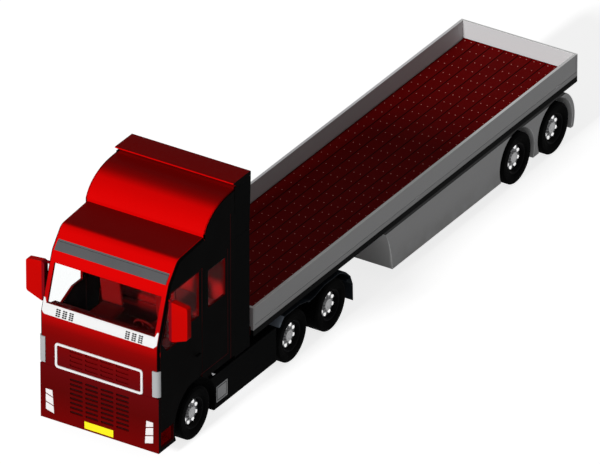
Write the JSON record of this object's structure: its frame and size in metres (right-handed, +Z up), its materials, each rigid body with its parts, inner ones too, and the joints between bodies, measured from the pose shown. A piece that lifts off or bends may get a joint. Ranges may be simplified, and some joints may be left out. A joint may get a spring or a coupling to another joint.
{
  "type": "articulated lorry with drop-side flatbed trailer",
  "caption": "Articulated lorry: a high-roof sleeper-cab tractor coupled to a low drop-side flatbed semi-trailer with side skirts.",
  "frame": {"origin": "on the ground under the middle of the whole lorry", "axes": "+X forward, +Y to the left, +Z up"},
  "size_m": [14.195, 3.4, 4.57],
  "materials": {
    "chassis_steel": "satin",
    "cast_metal": "rough",
    "coupling_steel": "greased",
    "tank_alloy": "satin",
    "cab_paint": "gloss",
    "floor_mat": "matte",
    "window_glass": "clear",
    "lamp_lens": "gloss",
    "white_trim": "gloss",
    "light_trim": "satin",
    "visor_trim": "satin",
    "dash_plastic": "matte",
    "seat_cloth": "woven",
    "black_plastic": "satin",
    "floor_boards": "satin",
    "grey_paint": "satin",
    "tyre_rubber": "matte",
    "wheel_metal": "satin"
  },
  "bodies": {
    "tractor": {"tractor_frame": "chassis_steel", "engine": "cast_metal", "tractor_axles": "chassis_steel", "fifth_wheel": "coupling_steel", "side_tanks": "tank_alloy", "cab_sides": "cab_paint", "cab_rear": "cab_paint", "cab_roof": "cab_paint", "cab_floor": "floor_mat", "cab_front": "cab_paint", "cab_glass": "window_glass", "bumper": "cab_paint", "bumper_corners": "cab_paint", "lamps": "lamp_lens", "front_trim": "white_trim", "corner_deflectors": "light_trim", "visor": "visor_trim", "dashboard": "dash_plastic", "cab_seats": "seat_cloth", "roof_deflector": "cab_paint", "side_collars": "black_plastic", "side_fairings": "black_plastic", "drive_guards": "black_plastic"},
    "trailer": {"trailer_frame": "chassis_steel", "side_rails": "chassis_steel", "landing_legs": "chassis_steel", "trailer_floor": "floor_boards", "headboard": "grey_paint", "skirts": "grey_paint", "trailer_axles": "chassis_steel", "rear_underrun": "chassis_steel"},
    "left_board": {"board_left": "grey_paint"},
    "right_board": {"board_right": "grey_paint"},
    "tail_board": {"tailboard": "grey_paint"},
    "left_door": {"door_left": "cab_paint", "door_glass_left": "window_glass"},
    "right_door": {"door_right": "cab_paint", "door_glass_right": "window_glass"},
    "left_knuckle": {"knuckle_left": "chassis_steel"},
    "right_knuckle": {"knuckle_right": "chassis_steel"},
    "wheel_front_left": {"tyre_front_left": "tyre_rubber", "rim_front_left": "wheel_metal"},
    "wheel_front_right": {"tyre_front_right": "tyre_rubber", "rim_front_right": "wheel_metal"},
    "wheel_drive_1_left": {"tyre_drive_1_left": "tyre_rubber", "rim_drive_1_left": "wheel_metal"},
    "wheel_drive_1_right": {"tyre_drive_1_right": "tyre_rubber", "rim_drive_1_right": "wheel_metal"},
    "wheel_drive_2_left": {"tyre_drive_2_left": "tyre_rubber", "rim_drive_2_left": "wheel_metal"},
    "wheel_drive_2_right": {"tyre_drive_2_right": "tyre_rubber", "rim_drive_2_right": "wheel_metal"},
    "wheel_trailer_1_left": {"tyre_trailer_1_left": "tyre_rubber", "rim_trailer_1_left": "wheel_metal"},
    "wheel_trailer_1_right": {"tyre_trailer_1_right": "tyre_rubber", "rim_trailer_1_right": "wheel_metal"},
    "wheel_trailer_2_left": {"tyre_trailer_2_left": "tyre_rubber", "rim_trailer_2_left": "wheel_metal"},
    "wheel_trailer_2_right": {"tyre_trailer_2_right": "tyre_rubber", "rim_trailer_2_right": "wheel_metal"}
  },
  "joints": [
    {"name": "trailer_articulation", "type": "hinge", "parent": "tractor", "child": "trailer", "pos_m": [2.3625, 0, 1.13], "axis": [0, 0, 1], "range_deg": [-85, 85]},
    {"name": "steer_left", "type": "hinge", "parent": "tractor", "child": "left_knuckle", "pos_m": [5.8875, 0.93, 0.5], "axis": [0, 0, 1], "range_deg": [-38, 38]},
    {"name": "steer_right", "type": "hinge", "parent": "tractor", "child": "right_knuckle", "pos_m": [5.8875, -0.93, 0.5], "axis": [0, 0, 1], "range_deg": [-38, 38]},
    {"name": "door_left_hinge", "type": "hinge", "parent": "tractor", "child": "left_door", "pos_m": [7.0105, 1.252, 1.875], "axis": [0, 0, 1], "range_deg": [-70, 0]},
    {"name": "door_right_hinge", "type": "hinge", "parent": "tractor", "child": "right_door", "pos_m": [7.0105, -1.252, 1.875], "axis": [0, 0, 1], "range_deg": [0, 70]},
    {"name": "board_left_hinge", "type": "hinge", "parent": "trailer", "child": "left_board", "pos_m": [-1.5625, 1.255, 1.345], "axis": [1, 0, 0], "range_deg": [-175, 0]},
    {"name": "board_right_hinge", "type": "hinge", "parent": "trailer", "child": "right_board", "pos_m": [-1.5625, -1.255, 1.345], "axis": [1, 0, 0], "range_deg": [0, 175]},
    {"name": "tailboard_hinge", "type": "hinge", "parent": "trailer", "child": "tail_board", "pos_m": [-7.0875, 0, 1.345], "axis": [0, 1, 0], "range_deg": [-175, 0]},
    {"name": "spin_front_left", "type": "hinge", "parent": "left_knuckle", "child": "wheel_front_left", "pos_m": [5.8875, 1.1, 0.5], "axis": [0, 1, 0], "continuous": true},
    {"name": "spin_front_right", "type": "hinge", "parent": "right_knuckle", "child": "wheel_front_right", "pos_m": [5.8875, -1.1, 0.5], "axis": [0, 1, 0], "continuous": true},
    {"name": "spin_drive_1_left", "type": "hinge", "parent": "tractor", "child": "wheel_drive_1_left", "pos_m": [2.6675, 0.935, 0.5], "axis": [0, 1, 0], "continuous": true},
    {"name": "spin_drive_1_right", "type": "hinge", "parent": "tractor", "child": "wheel_drive_1_right", "pos_m": [2.6675, -0.935, 0.5], "axis": [0, 1, 0], "continuous": true},
    {"name": "spin_drive_2_left", "type": "hinge", "parent": "tractor", "child": "wheel_drive_2_left", "pos_m": [1.3575, 0.935, 0.5], "axis": [0, 1, 0], "continuous": true},
    {"name": "spin_drive_2_right", "type": "hinge", "parent": "tractor", "child": "wheel_drive_2_right", "pos_m": [1.3575, -0.935, 0.5], "axis": [0, 1, 0], "continuous": true},
    {"name": "spin_trailer_1_left", "type": "hinge", "parent": "trailer", "child": "wheel_trailer_1_left", "pos_m": [-4.9925, 0.935, 0.5], "axis": [0, 1, 0], "continuous": true},
    {"name": "spin_trailer_1_right", "type": "hinge", "parent": "trailer", "child": "wheel_trailer_1_right", "pos_m": [-4.9925, -0.935, 0.5], "axis": [0, 1, 0], "continuous": true},
    {"name": "spin_trailer_2_left", "type": "hinge", "parent": "trailer", "child": "wheel_trailer_2_left", "pos_m": [-6.3125, 0.935, 0.5], "axis": [0, 1, 0], "continuous": true},
    {"name": "spin_trailer_2_right", "type": "hinge", "parent": "trailer", "child": "wheel_trailer_2_right", "pos_m": [-6.3125, -0.935, 0.5], "axis": [0, 1, 0], "continuous": true}
  ],
  "couplings": [
    {"joint": "steer_right", "follows": "steer_left", "ratio": 1}
  ]
}
